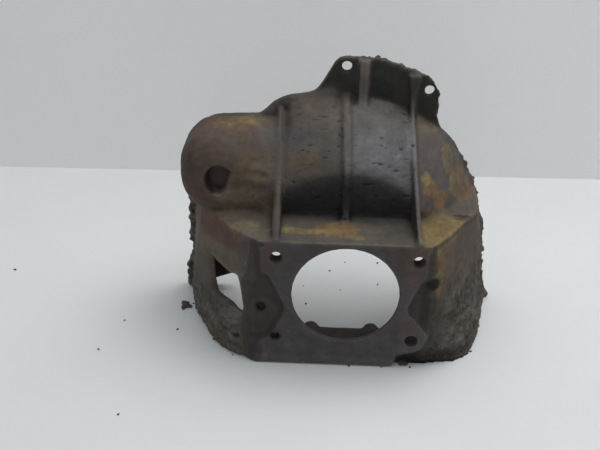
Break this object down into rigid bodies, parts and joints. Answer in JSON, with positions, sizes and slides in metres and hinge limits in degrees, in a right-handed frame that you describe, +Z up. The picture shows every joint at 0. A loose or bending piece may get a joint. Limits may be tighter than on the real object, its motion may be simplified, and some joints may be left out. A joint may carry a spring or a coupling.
{
  "type": "clutch bell housing",
  "caption": "Cast-iron clutch bell housing: square transmission face with a round register bore, domed bell, side starter bulge, ribs, fork window, open bottom and a wide engine flange.",
  "frame": {"origin": "on the plane of the bottom rim, straight below the shaft axis, in the middle of the rim's front bar, 35 mm behind the machined transmission face; the shaft axis and the register bore's centre are 98 mm above it", "axes": "+Y along the shaft axis from the transmission face into the bell towards the engine, +Z up as the housing stands on its open bottom rim, +X to the right seen from the transmission side"},
  "size_m": [0.406, 0.1831, 0.3266],
  "materials": {
    "cast_iron": "rough as-cast iron, oily brown-grey with ochre rust stains and caked dirt",
    "dowel_steel": "dull ground steel with light rust",
    "stud_steel": "oily forged steel, ball worn bright",
    "washer_steel": "dark spring steel"
  },
  "bodies": {
    "root": {"bell_housing": "cast_iron", "ring_dowel_left": "dowel_steel", "ring_dowel_right": "dowel_steel", "fork_pivot_ball_stud": "stud_steel", "fork_pivot_spring_washer": "washer_steel"}
  },
  "joints": []
}
